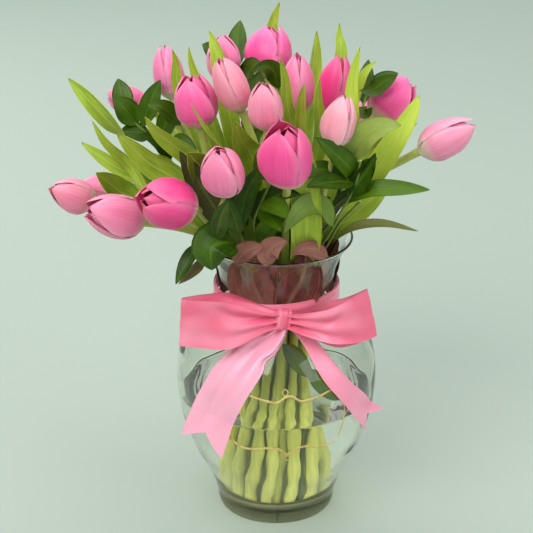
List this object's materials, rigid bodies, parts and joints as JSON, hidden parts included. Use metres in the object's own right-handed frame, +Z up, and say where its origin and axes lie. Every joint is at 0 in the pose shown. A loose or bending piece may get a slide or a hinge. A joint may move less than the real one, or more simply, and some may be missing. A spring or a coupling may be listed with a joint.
{
  "type": "tulips in a vase",
  "caption": "Bunch of pink tulips and glossy ruscus standing in water in a clear glass urn vase, with a satin ribbon bow round the neck.",
  "frame": {"origin": "centre of the vase's underside", "axes": "+Z up along the vase's axis; the bow faces -Y; +X to the right as seen from the front"},
  "size_m": [0.3812, 0.2929, 0.451],
  "materials": {
    "glass": "clear, smooth, faintly green where thick",
    "water": "clear water",
    "satin": "pink satin ribbon",
    "petal": "silky pink petal, darker at the centre line",
    "petal_pale": "pale salmon pink petal, cream at the base",
    "tulip_green": "matt waxy green with fine parallel veins",
    "ruscus_green": "dark glossy green"
  },
  "bodies": {
    "root": {"vase": "glass", "water": "water", "ribbon_neck_band": "satin", "ribbon_knot": "satin", "ribbon_loop_left": "satin", "ribbon_loop_right": "satin", "ribbon_tail_left": "satin", "ribbon_tail_right": "satin", "tulip_01_bloom": "petal_pale", "tulip_01_stem": "tulip_green", "tulip_02_bloom": "petal", "tulip_02_stem": "tulip_green", "tulip_03_bloom": "petal", "tulip_03_stem": "tulip_green", "tulip_04_bloom": "petal", "tulip_04_stem": "tulip_green", "tulip_05_bloom": "petal_pale", "tulip_05_stem": "tulip_green", "tulip_06_bloom": "petal", "tulip_06_stem": "tulip_green", "tulip_07_bloom": "petal", "tulip_07_stem": "tulip_green", "tulip_08_bloom": "petal_pale", "tulip_08_stem": "tulip_green", "tulip_09_bloom": "petal_pale", "tulip_09_stem": "tulip_green", "tulip_10_bloom": "petal_pale", "tulip_10_stem": "tulip_green", "tulip_11_bloom": "petal_pale", "tulip_11_stem": "tulip_green", "tulip_12_bloom": "petal", "tulip_12_stem": "tulip_green", "tulip_13_bloom": "petal", "tulip_13_stem": "tulip_green", "tulip_14_bloom": "petal", "tulip_14_stem": "tulip_green", "tulip_15_bloom": "petal", "tulip_15_stem": "tulip_green", "tulip_16_bloom": "petal", "tulip_16_stem": "tulip_green", "tulip_17_bloom": "petal", "tulip_17_stem": "tulip_green", "tulip_18_bloom": "petal", "tulip_18_stem": "tulip_green", "tulip_19_bloom": "petal", "tulip_19_stem": "tulip_green", "tulip_20_bloom": "petal", "tulip_20_stem": "tulip_green", "tulip_21_bloom": "petal", "tulip_21_stem": "tulip_green", "tulip_22_bloom": "petal", "tulip_22_stem": "tulip_green", "ruscus_front": "ruscus_green", "ruscus_rim_left": "ruscus_green", "ruscus_right_low": "ruscus_green", "ruscus_right": "ruscus_green", "ruscus_upper_right": "ruscus_green", "ruscus_left_upper": "ruscus_green", "ruscus_top": "ruscus_green", "ruscus_back": "ruscus_green"}
  },
  "joints": []
}
